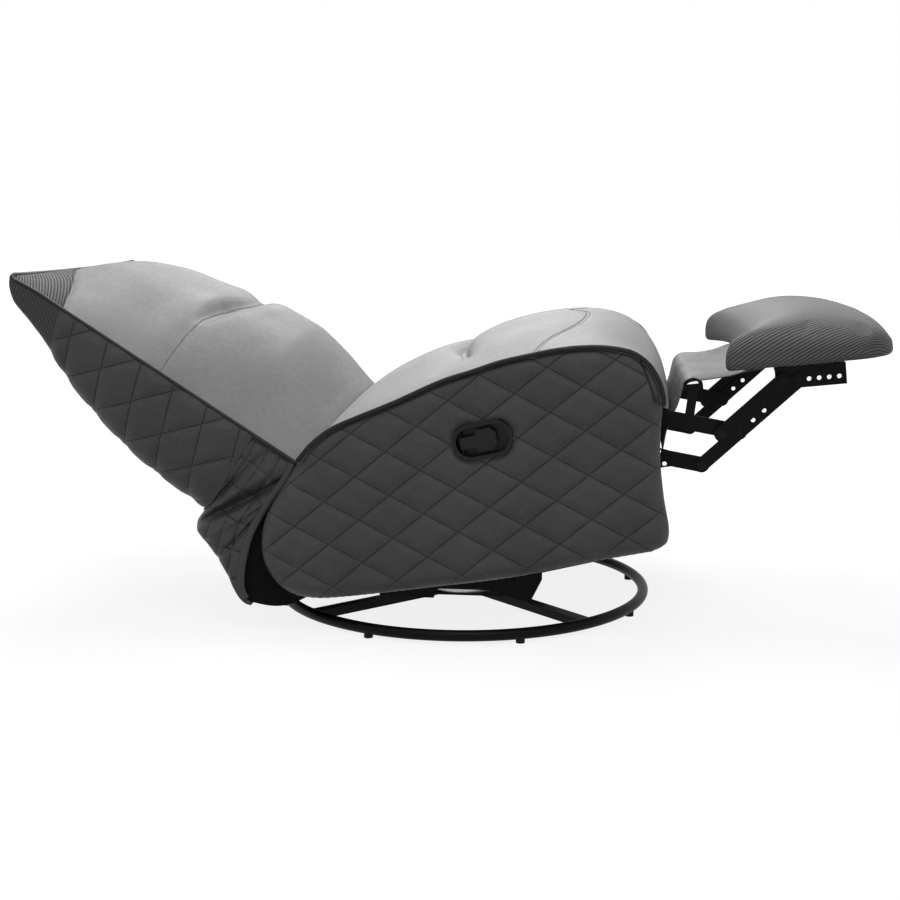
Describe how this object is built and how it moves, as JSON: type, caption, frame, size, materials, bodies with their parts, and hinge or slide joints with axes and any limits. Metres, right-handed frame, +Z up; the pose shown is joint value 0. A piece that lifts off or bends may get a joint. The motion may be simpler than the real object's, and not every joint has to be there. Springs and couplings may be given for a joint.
{
  "type": "swivel rocker recliner",
  "caption": "Armless upholstered recliner with quilted sides, let-down back, linkage footrest and pull handle, rocking and turning on a floor ring.",
  "frame": {"origin": "on the floor under the swivel axis", "axes": "+X the way the sitter faces, +Y to the sitter's left, +Z up"},
  "size_m": [1.5438, 0.72, 0.6506],
  "materials": {
    "black_steel": "satin black powder coat",
    "bright_steel": "zinc plated",
    "plywood": "raw plywood",
    "quilted_leather": "matt charcoal, diamond quilted",
    "seat_leather": "soft light grey",
    "back_leather": "soft mid grey",
    "flap_cloth": "woven lining cloth",
    "black_plastic": "fine grain",
    "glide_rubber": "matt"
  },
  "bodies": {
    "base": {"base_ring": "black_steel", "cross_arms": "black_steel", "foot_glides": "glide_rubber", "hub_plate": "black_steel", "lower_race": "bright_steel", "bearing_balls": "bright_steel", "king_bolt": "bright_steel"},
    "turntable": {"upper_race": "bright_steel", "carrier_plate": "black_steel", "carrier_rail_front": "black_steel", "carrier_rail_rear": "black_steel", "rocker_bracket_left": "black_steel", "rocker_bracket_right": "black_steel", "rock_shaft": "bright_steel", "rocker_springs": "bright_steel"},
    "seat": {"hanger_left": "black_steel", "hanger_right": "black_steel", "cross_beam_front": "black_steel", "cross_beam_rear": "black_steel", "mech_plate_left": "black_steel", "mech_plate_right": "black_steel", "mech_pins": "bright_steel", "front_rail": "plywood", "rear_rail": "plywood", "seat_springs": "bright_steel", "side_board_left": "plywood", "side_board_right": "plywood", "side_panel_left": "quilted_leather", "side_panel_right": "quilted_leather", "seat_cushion": "seat_leather", "handle_cup": "black_plastic", "handle_pin": "bright_steel", "release_cable": "black_plastic", "rear_skirt": "quilted_leather", "leg_flap": "flap_cloth"},
    "handle": {"pull_handle": "black_plastic"},
    "back": {"back_board": "plywood", "back_arm_left": "black_steel", "back_arm_right": "black_steel", "back_cover": "quilted_leather", "lumbar_cushion": "back_leather", "head_cushion": "back_leather"},
    "front_links": {"front_link_left": "black_steel", "front_link_right": "black_steel", "flap_bar": "black_steel"},
    "upper_bars": {"upper_bar_left": "black_steel", "upper_bar_right": "black_steel", "upper_bar_pins": "bright_steel"},
    "footrest": {"footrest_bracket_left": "black_steel", "footrest_bracket_right": "black_steel", "footrest_pins": "bright_steel", "stand_offs": "black_steel", "footrest_board": "plywood", "footrest_pad": "back_leather"},
    "rear_links": {"torque_tube": "black_steel", "rear_link_left": "black_steel", "rear_link_right": "black_steel"},
    "lower_bars": {"lower_bar_left": "black_steel", "lower_bar_right": "black_steel", "lower_bar_pins": "bright_steel"}
  },
  "joints": [
    {"name": "swivel", "type": "hinge", "parent": "base", "child": "turntable", "pos_m": [0, 0, 0.04], "axis": [0, 0, 1], "continuous": true},
    {"name": "rock", "type": "hinge", "parent": "turntable", "child": "seat", "pos_m": [0, 0, 0.13], "axis": [0, 1, 0], "range_deg": [-2, 11], "stiffness_Nm_per_rad": 1500, "deforming": ["rocker_springs"]},
    {"name": "recline", "type": "hinge", "parent": "seat", "child": "back", "pos_m": [-0.24802, 0, 0.31811], "axis": [0, 1, 0], "range_deg": [0, 32], "deforming": ["rear_skirt"]},
    {"name": "footrest_fold", "type": "hinge", "parent": "seat", "child": "front_links", "pos_m": [0.3103, 0, 0.39601], "axis": [0, 1, 0], "range_deg": [0, 90], "deforming": ["leg_flap"]},
    {"name": "upper_bar_pivot", "type": "hinge", "parent": "front_links", "child": "upper_bars", "pos_m": [0.47617, 0, 0.35814], "axis": [0, 1, 0], "range_deg": [-90, 0]},
    {"name": "footrest_pivot", "type": "hinge", "parent": "upper_bars", "child": "footrest", "pos_m": [0.57515, 0, 0.45141], "axis": [0, 1, 0], "range_deg": [0, 90]},
    {"name": "rear_link_pivot", "type": "hinge", "parent": "seat", "child": "rear_links", "pos_m": [0.24772, 0, 0.33703], "axis": [0, 1, 0], "range_deg": [0, 90]},
    {"name": "lower_bar_pivot", "type": "hinge", "parent": "rear_links", "child": "lower_bars", "pos_m": [0.44243, 0, 0.30219], "axis": [0, 1, 0], "range_deg": [-90, 0]},
    {"name": "handle_pull", "type": "hinge", "parent": "seat", "child": "handle", "pos_m": [0.03309, -0.348, 0.35281], "axis": [0.2079, 0, -0.9781], "range_deg": [0, 30], "stiffness_Nm_per_rad": 0.6}
  ],
  "couplings": [
    {"joint": "upper_bar_pivot", "follows": "footrest_fold", "ratio": -1},
    {"joint": "footrest_pivot", "follows": "footrest_fold", "ratio": 1},
    {"joint": "rear_link_pivot", "follows": "footrest_fold", "ratio": 1},
    {"joint": "lower_bar_pivot", "follows": "footrest_fold", "ratio": -1}
  ]
}
